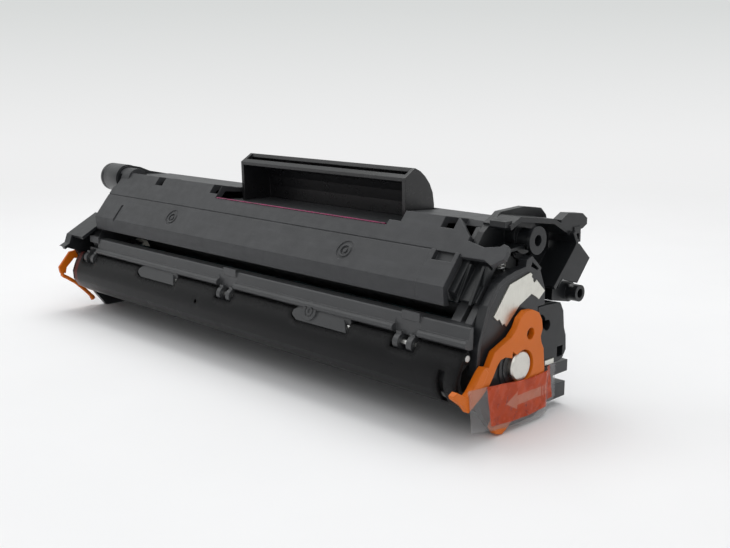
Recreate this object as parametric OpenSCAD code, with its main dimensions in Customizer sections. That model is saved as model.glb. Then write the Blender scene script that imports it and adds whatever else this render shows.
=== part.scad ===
// Toner cartridge: a drum unit and a toner unit joined end to end.
// X runs along the drum, Y from the front bar to the back, Z up from the surface it stands on.
// Outlines in the end planes are given as [y, z] from the drum axis.

/* [Whole cartridge] */
// Length over the end caps
length = 290; // [280:1:310]
// Height of the drum axis above the surface
axis_h = 24; // [23.5:0.5:27]
// Distance of the drum axis in front of the middle of the depth
axis_front = 4.2; // [3:0.1:5]

/* [Drum] */
// Radius of the drum
drum_r = 12; // [11:0.1:12]
// Wall of the drum tube
drum_wall = 0.8; // [0.5:0.1:1.5]
// How far the drum tube ends before the deck at the right
drum_short = 4; // [2:0.5:8]
// Radius of the steel axle pin
axle_r = 6; // [4.5:0.1:6.2]
// Outer radius of the black bush round the pin
bush_r = 8.5; // [7.8:0.1:9]
// Radius of the drive hub that turns in the left cap
hub_r = 7; // [5:0.1:8]

/* [Charge roller] */
// Radius of the rubber
charge_r = 5; // [4:0.1:5.2]
// Radius of the steel core
charge_core_r = 3; // [2.5:0.1:3.3]
// Radius of the core's journals
charge_journal_r = 2.2; // [1.6:0.1:2.4]
// Place round the drum, from the back
charge_angle = 150; // [146:1:153]

/* [Cleaning blade] */
// Thickness of the rubber
blade_t = 1.8; // [1:0.1:2]
// Free length of the rubber beyond its bracket
blade_free = 5; // [3:0.5:6]
// Thickness of the steel bracket
bracket_t = 1.2; // [0.8:0.1:1.5]

/* [Developer roller] */
// Radius of the sleeve
dev_r = 8; // [7:0.1:8.2]
// Place round the drum, from the back
dev_angle = 40; // [36:1:44]
// Radius of the core shaft
dev_core_r = 5; // [3.5:0.1:6]
// Radius of the shaft's journals
dev_journal_r = 3; // [2:0.1:3.5]

/* [Gears] */
// Teeth of the drum gear
drum_teeth = 34; // [30:1:36]
// Teeth of the developer gear
dev_teeth = 17; // [16:1:20]
// Teeth of the idler gear
idler_teeth = 24; // [22:1:25]
// Teeth of the agitator gear
agitator_teeth = 30; // [28:1:31]
// Width of the gears
gear_w = 6; // [4:0.5:8]

/* [Drum frame] */
// Thickness of the frame's walls
wall = 1.8; // [1.2:0.1:2.4]
// Height of the bar's top above the drum axis
bar_top = 19.1; // [18:0.1:20]
// Depth of the bar from front to back
bar_depth = 5.4; // [4:0.1:6]
// Thickness of the frame's left end, behind the gears
end_t = 6.1; // [4:0.1:8]
// Space at the left end past the bar
bar_left_gap = 25; // [20:1:30]
// Space at the right end past the bar
bar_right_gap = 3.4; // [3:0.1:5]

/* [Drum cover] */
// Radius of the cover's steel hinge rod
rod_r = 1.25; // [1:0.05:1.4]
// Thickness of the cover
cover_t = 1.5; // [1:0.1:2]
// Radius of the cover's barrel round the rod
barrel_r = 2.3; // [2.2:0.1:2.6]
// Radius of the frame's knuckles round the rod
knuckle_r = 3.6; // [3.2:0.1:3.8]
// Width of a rod clip
clip_w = 9.6; // [8:0.2:12]

/* [Hopper and deck] */
// Room for the right housing, past the deck
right_room = 18; // [16:0.5:20]
// Height of the deck's top edge above the drum axis
deck_top = 54; // [52:0.5:56]
// Thickness of the hopper's walls
hopper_wall = 2; // [1.5:0.1:2.6]
// Depth of the notches in the deck's top edge
notch_d = 5; // [3:0.5:6]
// Width of the notches in the deck's top edge
notch_w = 6.6; // [5:0.1:8]
// Depth of the finger recess along the deck's top edge, down the slope
recess_d = 7.4; // [5:0.1:9]

/* [Handle] */
// Length of the handle
handle_len = 110.5; // [90:0.5:120]
// Thickness of the handle's end plates
handle_plate = 1.8; // [1.2:0.1:3]
// Thickness of the handle's curved back
handle_back = 1.8; // [1.2:0.1:3]

/* [Ends] */
// Thickness of the end caps' faces
cap_t = 3; // [2:0.1:3.6]
// How far the axle pin stands out of the right cap
pin_out = 3; // [2:0.1:4]
// Thickness of the sheet-metal contact plate
contact_t = 0.5; // [0.3:0.1:0.8]

/* [Transport clips and tape] */
// Thickness of the orange clips
clip_t = 2.6; // [1.5:0.1:3.5]
// Thickness of the pull tape
tape_t = 0.3; // [0.2:0.1:0.5]

/* [Fits] */
// Radial clearance of a shaft in its bore
fit = 0.06; // [0.02:0.01:0.1]
// Gap between parts that turn or swing past each other
gap = 0.4; // [0.3:0.05:0.6]

/* [Hidden] */

half = length / 2;
near = 0.3;
face_x = half - pin_out;
cap_x = face_x - cap_t;
origin = [0, 0];

// Places along X: gears, frame end, deck and drum, from the left
gear_x0 = -half + cap_t + 1.4;
frame_left = gear_x0 + gear_w + 2 * gap;
frame_end_x = frame_left + end_t;
deck_x0 = frame_end_x + 0.7;
deck_x1 = half - right_room;
drum_x0 = deck_x0;
drum_x1 = deck_x1 - drum_short;
flange_lip = 2.6;

// Places of the rollers and gears round the drum
charge_at = polar(drum_r + gap + charge_r, charge_angle);
dev_dist = drum_r + gap + dev_r;
dev_at = polar(dev_dist, dev_angle);
agitator_at = [8, 35];
film_r = 9;
dev_bearing_r = 5.5;
blade_edge = polar(drum_r + gap, 200);
blade_dir = polar(1, -38);
blade_root = blade_edge - (blade_free + 4) * blade_dir + 0.05 * turn_left(blade_dir);
blade_leg = blade_root + [-1.5, 3.3];
doctor_edge = dev_at + polar(dev_r + gap, 125);
doctor_dir = polar(1, 150);
doctor_t = 1.2;
spring_len = 2.9;
pin_at = [-7, 29.5];
pin_r = 2;
plug_at = [20, 41];
plug_r = 5;
agitator_r = 3;
gear_m = 2 * dev_dist / (drum_teeth + dev_teeth);
gear_play = 0.16;
idler_at = meet(dev_at, agitator_at, gear_m * (dev_teeth + idler_teeth) / 2,
                gear_m * (idler_teeth + agitator_teeth) / 2);

// Hinge rod of the drum cover
rod_at = [-27.6, 7.9];
bar_front = -26.7;
bar_back = bar_front + bar_depth;
bar_x0 = -half + bar_left_gap;
bar_x1 = half - bar_right_gap;
clip_xs = [bar_x0 - 5, -1, half - 33];
clip_half = clip_w / 2 + 1.6;
knuckle_spans = [[clip_xs[1] - 74, clip_xs[1] - 40], [clip_xs[1] + 48.5, clip_xs[2] - 30]];
cover_x0 = -half + cap_t + 3.6;
cover_x1 = bar_x1 - 0.6;
tab_line = [[-31.2, 5.2], [-29.9, 8.3], [-27.4, 13.4]];
mark_at = [-27.5, 10.2];

// Deck: a lip at the front, then a slope up to the back
lip_low = [-23.5, 24];
crease = [-24.1, 31.05];
slope = 51.1;
deck_peak = [crease[0] + (deck_top - crease[1]) / tan(slope), deck_top];
deck_t = 2;
up = [cos(slope), sin(slope)];
inward = [sin(slope), -cos(slope)];
deck_s = (deck_top - crease[1]) / sin(slope);
// Ledge past the deck's right end, as [x from the deck's end, way up the slope]
ledge = [
  [-6.5, 13.3], [11, 13.8], [15, 12], [19.2, 15.4], [19.2, 18.7], [18.4, 20.8], [16.2, 21.3],
  [15, 20], [8.5, 18.8], [-0.4, 20.6], [-6.5, 20.6]];
// Raised corner of the deck beside the ledge, and the marks left on the deck by its mould
corner_w = 14;
corner_s = 14.5;
corner_t = 0.9;
gate_xs = [deck_x0 + 69, deck_x1 - 58];
gate_s = 7.5;
handle_x0 = -29;
recess_x0 = handle_x0 - 4;
recess_x1 = handle_x0 + handle_len + 2.5;
notch_xs = [deck_x1 - 12.4, recess_x1 + 3.2, recess_x0 - 3.5, deck_x0 + 41];
recess_z = deck_top - 7.4;
recess_back = 22.9;
recess_corner = on_deck(deck_s - recess_d, (on_deck(deck_s - recess_d)[1] - recess_z) / cos(slope));
handle_z = recess_z;
rim_t = 0.8;
clip_x = face_x + rim_t + 0.3;
grip_t = 0.5;
// Right clip: its outer edge from the hook over the top to the foot, then back along the inner edge
clip_outer = [
  [-40, -2.4], [-38, -1.3], [-32.9, -4.2], [-30.9, -2.9], [-25.3, 3.3], [-23.4, 4.7], [-20.6, 4],
  [-17.5, 9.1], [-13.4, 10.6], [-8, 12.6], [-4.6, 15.5], [-2.6, 19], [0.9, 21.2], [5.3, 21],
  [9.1, 19.3], [11.2, 16.2], [11.9, 12.4], [10.8, 9.6], [11.4, 7.2], [13, 4.5], [14.1, -4.2],
  [13, -9], [9, -14], [2, -17.5], [-6, -20], [-9, -22.2], [-11.8, -23.7], [-15.3, -22.8],
  [-17.2, -20], [-14.5, -15.5], [-8, -12], [-3.4, -9.2]];
clip_inner = [
  [-6.6, 7.2], [-6.8, 4.6], [-9, 5.3], [-11.1, 5.9], [-13.9, 5.4], [-15.9, 3.4], [-17.8, 0.3],
  [-20.4, -3.1], [-24.9, -6.4], [-28.2, -8.2], [-31.7, -10.4], [-34, -7.6], [-39.5, -3.6]];
strip_s = deck_s - recess_d + 0.05;
boss_at = [12, 46];
stud_at = [40.9, 21.1];
// Front of the left end cap, from its tip up to the deck
shoulder = [[-37.5, 13.7], [-34.2, 15.4], [-32.5, 20], [-24.7, 24.4], [-14.2, 30.2]];
top_boss_at = [-2, 50];
top_boss_r = 6.2;

function polar(r, a) = [r * cos(a), r * sin(a)];
function unit(v) = v / norm(v);
function turn_left(v) = [-v[1], v[0]];
function side(p, i) = turn_left(unit(p[min(i + 1, len(p) - 1)] - p[max(i - 1, 0)]));
// Closed outline of a wall of thickness t on the left of path p
function band(p, t) = concat(p, [for (i = [len(p) - 1 : -1 : 0]) p[i] + t * side(p, i)]);
// Where circles about p and q meet, on the right of the way from p to q
function meet(p, q, rp, rq) =
  let (d = norm(q - p), a = (rp * rp - rq * rq + d * d) / (2 * d), h = sqrt(rp * rp - a * a))
  p + a * unit(q - p) - h * turn_left(unit(q - p));
function heading(p, q) = atan2(q[1] - p[1], q[0] - p[0]);
// A point on the deck's slope, s up from the crease and in under its surface
function on_deck(s, in = 0) = crease + s * up + in * inward;
// Points of a round edge about the drum axis
function round_edge(r, a0, a1, n) = [for (i = [0 : n]) polar(r, a0 + (a1 - a0) * i / n)];

module at_axis() translate([0, -axis_front, axis_h]) children();
module along_x(x0, x1) translate([x0, 0, 0]) rotate([90, 0, 90]) linear_extrude(x1 - x0) children();
module rod(r, x0, x1, at = origin) {
  translate([x0, at[0], at[1]]) rotate([0, 90, 0]) cylinder(r = r, h = x1 - x0, $fn = 64);
}
module ring(ro, ri, x0, x1, at = origin) {
  difference() {
    rod(ro, x0, x1, at);
    rod(ri, x0 - 1, x1 + 1, at);
  }
}
module outward(x, at, angle) translate([x, at[0], at[1]]) rotate([angle - 90, 0, 0]) children();
module cone(r0, r1, x0, x1, at) {
  translate([x0, at[0], at[1]]) rotate([0, 90, 0]) cylinder(r1 = r0, r2 = r1, h = x1 - x0, $fn = 64);
}
// A shape drawn in [x, z], from y0 to y1
module along_y(y0, y1) translate([0, y1, 0]) rotate([90, 0, 0]) linear_extrude(y1 - y0) children();
// A shape drawn in [x, way up the slope], from over above the deck's surface to under below it
module on_slope(over, under) {
  translate([0, crease[0], crease[1]]) rotate([slope, 0, 0]) translate([0, 0, -under])
    linear_extrude(over + under) children();
}
module block(x0, x1, y0, y1, z0, z1) translate([x0, y0, z0]) cube([x1 - x0, y1 - y0, z1 - z0]);

// Involute gears
function flank(rb, r) = r <= rb ? 0 : let (t = sqrt(r * r / rb / rb - 1)) t * 180 / PI - atan(t);
function tooth_half(z, r) =
  let (rp = gear_m * z / 2, rb = rp * cos(20))
  90 / z + flank(rb, rp) - flank(rb, r) - gear_play / rp / 2 * 180 / PI;
module teeth(z, phase) {
  rp = gear_m * z / 2;
  radii = [rp - 1.2 * gear_m, rp - 0.5 * gear_m, rp, rp + 0.5 * gear_m, rp + 0.9 * gear_m];
  polygon([for (k = [0 : z - 1]) each concat(
    [for (r = radii) polar(r, phase + 360 * k / z - tooth_half(z, r))],
    [for (i = [len(radii) - 1 : -1 : 0]) polar(radii[i], phase + 360 * k / z + tooth_half(z, radii[i]))])]);
}
// Phase of a gear of z teeth at q that meshes with a gear of zp teeth and phase pp at p
function meshed(p, q, zp, pp, z) = heading(p, q) + 180 + 180 / z + (heading(p, q) - pp) * zp / z;
drum_phase = dev_angle;
dev_phase = meshed(origin, dev_at, drum_teeth, drum_phase, dev_teeth);
idler_phase = meshed(dev_at, idler_at, dev_teeth, dev_phase, idler_teeth);
agitator_phase = meshed(idler_at, agitator_at, idler_teeth, idler_phase, agitator_teeth);

// Outline of the right end cap's face, with its rim first
rim_path = [
  [-23, -8], [-24.4, 0.5], [-23.6, 12.3], [-20.6, 20.6], [-18.6, 26], [-12.6, 33.2], [-8, 35.2],
  [-3, 36.4], [3.7, 37.2]];
cap_lug = [
  [2.6, 36.2], [3.7, 37.2], [4.2, 39.6], [7.5, 40.8], [13.7, 35.4], [12.6, 33.9], [8.6, 34.9], [3.6, 35.6]];
cap_outline = concat(
  rim_path,
  [[4.2, 39.6], [7.5, 40.8], [13.7, 35.4], [17.8, 26.3], [17.8, 20.3], [13.4, 20.3], [13.4, -5.2]],
  [[25.6, -5.2], [25.6, -14], [21, -20.5], [13, -axis_h], [-12, -axis_h], [-18, -17]]);

// Drum unit
module bar_profile() {
  polygon([
    [bar_front, bar_top - 0.4], [bar_front - 0.3, 17.2], [bar_front - 0.7, 15.6], [bar_front - 0.9, 14.6],
    [bar_front - 1.9, 14.3], [bar_front - 2.7, 13.7], [bar_front - 3, 12.9], [bar_front - 2.7, 12.1],
    [bar_front - 1.9, 11.5], [bar_front - 0.9, 11.2], [bar_front - 0.6, 10.9], [bar_back, 10.9],
    [bar_back, bar_top], [bar_front + 0.4, bar_top]]);
}
// A knuckle round the hinge rod whose face lies flush with the cover
module knuckle(x0, x1) {
  difference() {
    intersection() {
      union() {
        cone(barrel_r, knuckle_r, x0, x0 + 3.4, rod_at);
        rod(knuckle_r, x0 + 3.4, x1, rod_at);
      }
      along_x(x0, x1) polygon(concat(tab_line, [[-20, 13.4], [-20, 2]]));
    }
    along_y(-34, tab_line[1][0] + 1.6) polygon([[x1 - 3.6, 10.8], [x1 + 0.4, 4.6], [x1 + 0.4, 10.8]]);
  }
  along_x(x0 + 1.5, x1 - 3.6) polygon([
    [-29.2, 9.7], [bar_front - 0.9, 11.6], [bar_front + 1, 12.4], [bar_back - 2, 12.4], [bar_back - 2, 9],
    [rod_at[0] + 1, 9]]);
}
// Two rings round the rod with a slot between them, and the raised lip above them
module rod_clip(x) {
  for (e = [x - 4.8, x + 2.2]) {
    rod(barrel_r + 1, e, e + 2.6, rod_at);
    block(e, e + 2.6, rod_at[0] - 1, bar_back - 3, rod_at[1] + 1, 12);
  }
  block(x - 3, x + 6, bar_front - 0.8, bar_front + 0.6, 16.8, bar_top + 1.2);
}
module trough_profile() {
  polygon(band([
    [bar_back - 0.2, 12], [bar_back - 3.4, 11], [bar_back - 3.8, 6], [-29, 3], [-30, -2], [-28.2, -6.6],
    [-19, -11.2], [-13.2, -12.6]], wall));
}
module seat_profile() {
  polygon([
    [bar_back, 13], [bar_back, 6.4], blade_leg + [-0.1, 0], blade_root + [-0.1, 0], [-20.6, 0], [-23, 3],
    [-24.6, 8], [-24.6, 13]]);
}
module frame_end(x0, x1) {
  along_x(x0, x1) polygon([
    [-22, 1.4], [-22, 13], [-23.4, 18], [-17.6, 25], [-14.6, 27.4], [-12.4, 30], [-6.8, 33.6], [6, 35.8],
    [8.4, 32], [8.4, -10], [6, -18.6], [-4, -18], [-12, -15], [-19, -11.6], [-20.5, -8.6]]);
}
module drum_frame() {
  color("#4b4d50") at_axis() difference() {
    union() {
      difference() {
        along_x(bar_x0, bar_x1) bar_profile();
        for (x = clip_xs) block(x - clip_half, x + clip_half, -40, bar_front - 0.4, 0, 16.8);
      }
      along_x(frame_left, cap_x - near) {
        trough_profile();
        seat_profile();
      }
      frame_end(drum_x1 + 6, cap_x - near);
      frame_end(frame_left, frame_end_x);
      for (s = knuckle_spans) knuckle(s[0], s[1]);
      for (x = clip_xs) rod_clip(x);
      outward(knuckle_spans[1][0] + 10.5, mark_at, 160) cylinder(r = 4, h = 2.2, $fn = 48);
    }
    outward(knuckle_spans[1][0] + 10.5, mark_at, 160) translate([0, 0, 1.8]) {
      difference() {
        cylinder(r = 2.7, h = 1, $fn = 48);
        cylinder(r = 1.9, h = 1, $fn = 48);
      }
      cylinder(r = 0.9, h = 1, $fn = 32);
    }
    rod(rod_r + fit, cover_x0 - 2, bar_x1 + 1, rod_at);
    block(cap_x - near, half, bar_front + 1.8, 0, 0, 40);
    block(cap_x - 5.6, cap_x - 3.4, -30, -13.6, bar_top, 40);
    rod(bush_r + 1, drum_x1 + 5, half, origin);
    rod(gear_m * drum_teeth / 2 + 1.9, -half, deck_x0, origin);
    rod(charge_journal_r + 2.2, -half, half, charge_at);
    for (x = [drum_x0 - 2, drum_x1 + 7])
      outward(x, charge_at, charge_angle) cylinder(r = 1.9, h = 7.5, $fn = 32);
    rod(pin_r + fit, -half, half, pin_at);
    rod(agitator_r + 1, -half, half, agitator_at);
  }
}
module drum_end_cap_right() {
  color("#515356") at_axis() difference() {
    union() {
      along_x(cap_x, face_x) polygon(cap_outline);
      along_x(face_x, face_x + rim_t) polygon(band(rim_path, -1.8));
      along_x(face_x, face_x + rim_t) polygon(cap_lug);
      rod(bush_r + 2, cap_x, face_x + 0.6);
      block(cap_x - 3, face_x, 22, 35.6, -10.3, -5.6);
      block(cap_x - 3, face_x, 18, 34.4, -20.5, -14.4);
    }
    rod(bush_r + fit, cap_x - 1, half + 1);
    along_x(cap_x - 1, half) polygon([[6.9, 36.9], [7.7, 38.6], [11.9, 35.5], [11, 34.9]]);
  }
}
module drum_end_cap_left() {
  color("#3c3e41") at_axis() difference() {
    union() {
      along_x(-half, -half + cap_t) polygon(concat(
        [[-27.1, -3.2], [-26.4, 6.5], [-28.5, 10.3]], shoulder, [[-13.6, 21.9], [8, 21.9], [14.2, 15.6]],
        [[24, 8], [26, -4], [25.6, -14], [21, -20.5], [13, -axis_h], [-12, -axis_h], [-17.8, -16.5]]));
      along_x(-half + cap_t, cover_x0 - 2 * gap) polygon(band(shoulder, -1.6));
      along_x(-half + cap_t, frame_end_x) polygon(band([shoulder[2], shoulder[3], shoulder[4]], -1.6));
      rod(hub_r + 2.4, -half, -half + cap_t + 1, origin);
    }
    rod(hub_r + fit, -half - 1, -half + cap_t + 2, origin);
  }
}
module contact_plate() {
  color("#d9dad2") at_axis() along_x(face_x, face_x + contact_t) difference() {
    polygon([
      [-14.4, 21.1], [-5.2, 31.8], [7.3, 34.5], [8.4, 33.6], [8, 32.8], [9.2, 31.8], [10, 32.3], [17, 26],
      [13.3, 23.2], [11.6, 24.4], [8.4, 26.1], [1, 22.9], [-6.8, 16.2], [-8.2, 17.6], [-9, 17], [-11, 19.6],
      [-12.4, 19.4]]);
    translate([10.2, 31.4]) circle(r = 1.1, $fn = 32);
  }
}
module side_contact() {
  color("#c9cac4") at_axis() block(face_x, face_x + contact_t, 19, 25, -4.7, -2.7);
}
module axle_bush() {
  color("#26272a") at_axis() ring(bush_r, axle_r + fit, cap_x - 1.4, face_x + 0.9);
}
module drum_axle_pin() {
  color("#cfd0cc") at_axis() {
    rod(axle_r, drum_x1 - 8, half - 0.6);
    cone(axle_r, axle_r - 0.6, half - 0.6, half, origin);
  }
}
module opc_drum() {
  color("#4f8f88") at_axis() ring(drum_r, drum_r - drum_wall, drum_x0, drum_x1, origin);
}
module drum_flange_right() {
  color("#d8d6cc") at_axis() difference() {
    union() {
      rod(drum_r - drum_wall, drum_x1 - 9, drum_x1, origin);
      rod(drum_r, drum_x1, drum_x1 + flange_lip, origin);
    }
    rod(axle_r + fit, drum_x1 - 10, drum_x1 + flange_lip + 1, origin);
  }
}
module drum_drive_gear() {
  color("#e4e2da") at_axis() {
    rod(drum_r - drum_wall, drum_x0, drum_x0 + 9, origin);
    rod(drum_r, drum_x0 - flange_lip, drum_x0, origin);
    rod(hub_r + 3, gear_x0, drum_x0 - flange_lip, origin);
    along_x(gear_x0, gear_x0 + gear_w) teeth(drum_teeth, drum_phase);
    rod(hub_r, -half + 0.4, gear_x0, origin);
  }
}
module charge_roller_rubber() {
  color("#2b2c2e") at_axis() ring(charge_r, charge_core_r, drum_x0 + 9, drum_x1 - 9, charge_at);
}
module charge_roller_shaft() {
  color("#b8bab8") at_axis() {
    rod(charge_core_r, drum_x0 + 7, drum_x1 - 7, charge_at);
    rod(charge_journal_r, drum_x0 - 4, drum_x1 + 9, charge_at);
  }
}
module charge_bearings() {
  color("#e8e6df") at_axis() for (x = [drum_x0 - 4, drum_x1 + 5])
    ring(charge_journal_r + 2, charge_journal_r + fit, x, x + 4, charge_at);
}
// A compression spring standing on z = 0: a round wire swept along a helix
module coil(r, wire, height, turns) {
  per_turn = 10;
  sides = 6;
  rings = per_turn * turns;
  rise = height - 2 * wire;
  points = [for (i = [0 : rings], j = [0 : sides - 1])
    let (a = 360 * i / per_turn, b = 360 * j / sides, out = r + wire * cos(b))
    [out * cos(a), out * sin(a), wire + rise * i / rings + wire * sin(b)]];
  polyhedron(points, concat(
    [[for (j = [0 : sides - 1]) j]],
    [for (i = [0 : rings - 1], j = [0 : sides - 1])
      let (k = (j + 1) % sides) [i * sides + j, (i + 1) * sides + j, (i + 1) * sides + k, i * sides + k]],
    [[for (j = [sides - 1 : -1 : 0]) rings * sides + j]]));
}
module charge_springs() {
  color("#c4c6c4") at_axis() for (x = [drum_x0 - 2, drum_x1 + 7])
    outward(x, charge_at, charge_angle)
      translate([0, 0, charge_journal_r + 2.3]) coil(1.2, 0.3, spring_len, 4);
}
module cleaning_blade() {
  color("#c9a66b") at_axis() along_x(drum_x0 + 5, drum_x1 - 5) polygon(band([
    blade_edge, blade_edge - (blade_free + 3) * blade_dir], blade_t));
}
module blade_bracket() {
  color("#b4b8ba") at_axis() along_x(drum_x0 + 1, drum_x1 - 1) polygon(band([
    blade_edge - blade_free * blade_dir + 0.05 * turn_left(blade_dir), blade_root, blade_leg], -bracket_t));
}
module blade_screws() {
  normal = heading(blade_root, blade_leg) - 90;
  color("#a9acae") at_axis() for (x = [drum_x0 + 4, drum_x1 - 4])
    outward(x, (blade_root + blade_leg) / 2 + (bracket_t + 0.02) * polar(1, normal), normal)
      cylinder(r = 1.7, h = 1.2, $fn = 32);
}
module cover_rod() {
  color("#d8d8d4") at_axis() rod(rod_r, cover_x0 - 1.6, bar_x1 - 0.2, rod_at);
}
module cover_profile() {
  polygon(band([
    [rod_at[0] - barrel_r, rod_at[1] + 0.4], [-32, 4.4], [-33.7, 0], [-33.4, -4.6], [-30.8, -8.8],
    [-25, -12.2], [-15.6, -16.6], [-7, -20.2], [2, -22.1], [9, -21.6], [14, -19.6]], cover_t));
}
module drum_cover() {
  color("#3d3f42") at_axis() difference() {
    union() {
      along_x(cover_x0, cover_x1) cover_profile();
      rod(barrel_r, cover_x0, cover_x1, rod_at);
    }
    rod(rod_r + fit, cover_x0 - 1, cover_x1 + 1, rod_at);
    for (s = knuckle_spans) {
      cone(barrel_r + gap, knuckle_r + gap, s[0] - gap, s[0] + 3.4 - gap, rod_at);
      rod(knuckle_r + gap, s[0] + 3.3 - gap, s[1] + gap, rod_at);
    }
    for (x = clip_xs) rod(knuckle_r + gap, x - clip_half, x + clip_half, rod_at);
    block(cover_x1 - 9, cover_x1 - 5.6, -40, -20, -9, 3);
    block(cap_x - gap, half, -23, 20, -axis_h - 1, 0);
    outward(-20.3, [-33, 2.3], 165) translate([0, 0, -1.2]) cylinder(r = 1.1, h = 3, $fn = 32);
  }
}

// Toner unit
module hopper_floor() {
  polygon(band([[5.4, 19.6], [2, 18.2], [-8, 21.4], [-21.1, 26], [-21.9, 29.4]], -hopper_wall));
}
module hopper_back() {
  polygon(band([
    [16.5, 2.2], [21.6, 0.6], [26.6, 3], [28.4, 9], [28.9, 20], [30.6, 28], [31.5, 38], [30, 45.6],
    [25.4, 49]], hopper_wall));
}
module hopper_end() {
  polygon([
    [-21.1, 26], [-8, 21.4], [2, 18.2], [6.4, 19.6], [7.4, 14.6], [9.6, 9.6], [13, 4.6], [16.5, 2.2],
    [21.6, 0.6], [26.6, 3], [28.4, 9], [28.9, 20], [30.6, 28], [31.5, 38], [30, 45.6], [25.4, 49],
    [3, deck_peak[1] - 3.8], on_deck(deck_s, deck_t) + [0, -1.8], on_deck(0, deck_t)]);
}
module toner_hopper() {
  color("#48494c") at_axis() difference() {
    union() {
      along_x(deck_x0, deck_x1) {
        hopper_floor();
        hopper_back();
      }
      for (x = [deck_x0, deck_x1 - hopper_wall]) along_x(x, x + hopper_wall) hopper_end();
      for (x = [deck_x0 + hopper_wall, deck_x1 - hopper_wall - 4]) rod(4, x, x + 4, pin_at);
    }
    rod(pin_r + fit, -half, deck_x0 + 5, pin_at);
    rod(pin_r + fit, deck_x1 - 5, half, pin_at);
    rod(agitator_r + fit, -half, half, agitator_at);
    rod(dev_bearing_r, -half, half, dev_at);
    rod(plug_r, deck_x1 - 10, half, plug_at);
    rod(top_boss_r + near, deck_x0 - 1, deck_x0 + 11, top_boss_at);
  }
}
module deck_profile() {
  polygon(concat(
    [lip_low, crease, deck_peak, [3, deck_peak[1] - 1.6], [25.4, 51]],
    [[25.4, 49], [3, deck_peak[1] - 3.8], on_deck(deck_s, deck_t) + [0, -1.8], on_deck(0, deck_t)],
    [lip_low + [deck_t, 0]]));
}
module hopper_lid() {
  color("#505255") at_axis() difference() {
    union() {
      along_x(deck_x0, deck_x1) deck_profile();
      along_x(deck_x1 - corner_w, deck_x1) polygon([
        lip_low + [-corner_t, 0.3], crease + [-corner_t, 0.4], on_deck(0.4, -corner_t),
        on_deck(corner_s, -corner_t), on_deck(corner_s, 0.5), on_deck(0, 1), lip_low + [1, 0.3]]);
      translate([deck_x1, 0, 0]) on_slope(0, deck_t) polygon(ledge);
      rod(top_boss_r, deck_x0, deck_x0 + 10, top_boss_at);
      along_x(recess_x0 - 2, recess_x1 + 2) polygon(band([
        on_deck(deck_s - recess_d, 0.2), recess_corner, [recess_back, recess_z], [recess_back, 50]], -1.6));
    }
    for (x = notch_xs) along_x(x - notch_w / 2, x + notch_w / 2) polygon([
      on_deck(deck_s - notch_d), on_deck(deck_s - notch_d, 3), [4, deck_top - 4], [4, deck_top + 5],
      on_deck(deck_s + 5, -3), on_deck(deck_s - notch_d, -3)]);
    along_x(recess_x0, recess_x1) polygon([
      on_deck(deck_s - recess_d, -3), recess_corner, [recess_back, recess_z], [recess_back, 60], [0, 60]]);
    translate([deck_x1, 0, 0]) {
      on_slope(3, 5) polygon([[-8.7, 29.6], [-8.7, 40], [1, 40], [1, 22.6], [-0.6, 22.6]]);
      on_slope(3, deck_t - 0.7) polygon([
        [-11.6, corner_s - 4.4], [-2, corner_s - 4.4], [-2, corner_s], [-11.6, corner_s]]);
    }
    translate([deck_x0, 0, 0]) {
      on_slope(3, 3) polygon([[-1, 19.6], [0.6, 19.6], [2.3, 22], [2.3, 28], [-1, 28]]);
      on_slope(3, 0.6) polygon([[19, -0.6], [21, -0.6], [21, 9.3], [19, 9.3]]);
      on_slope(1, 0.3) polygon([
        [0, corner_s], [deck_x1 - deck_x0 - corner_w, corner_s],
        [deck_x1 - deck_x0 - corner_w, corner_s + 0.5], [0, corner_s + 0.5]]);
    }
    for (x = gate_xs) translate([x, 0, 0]) on_slope(1, 0.4) translate([0, gate_s]) difference() {
      circle(r = 4.4, $fn = 48);
      circle(r = 3, $fn = 48);
    }
    for (x = gate_xs) translate([x, 0, 0]) on_slope(1, 0.6) translate([0, gate_s]) difference() {
      circle(r = 2.2, $fn = 48);
      circle(r = 1, $fn = 32);
    }
  }
}
module handle_plate_outline() {
  polygon([
    [3.6, handle_z], [3.1, 65.5], [9.2, 69.3], [12.6, 67.8], [15.6, 65.4], [18.4, 62.2], [20.4, 58.3],
    [21.4, 53], [21.5, handle_z]]);
}
handle_path = [
  [21.5, handle_z + 0.1], [21.4, 53], [20.4, 58.3], [18.4, 62.2], [15.6, 65.4], [12.6, 67.8], [9.2, 69.3]];
module carry_handle() {
  color("#1f2022") at_axis() {
    for (x = [handle_x0, handle_x0 + handle_len - handle_plate])
      along_x(x, x + handle_plate) handle_plate_outline();
    along_x(handle_x0, handle_x0 + handle_len) {
      polygon(band(handle_path, handle_back));
      polygon([[3.1, 65.5], [5.2, 66.8], [5.6, 65.6], [3.2, 64]]);
    }
  }
}
module label_strip() {
  color("#96174c") at_axis() along_x(recess_x0 + 1, recess_x1 - 1) polygon([
    on_deck(strip_s, -0.2), on_deck(strip_s + 0.5, -0.2),
    on_deck(strip_s + 0.5, 1.6), on_deck(strip_s, 1.6)]);
}
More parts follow.
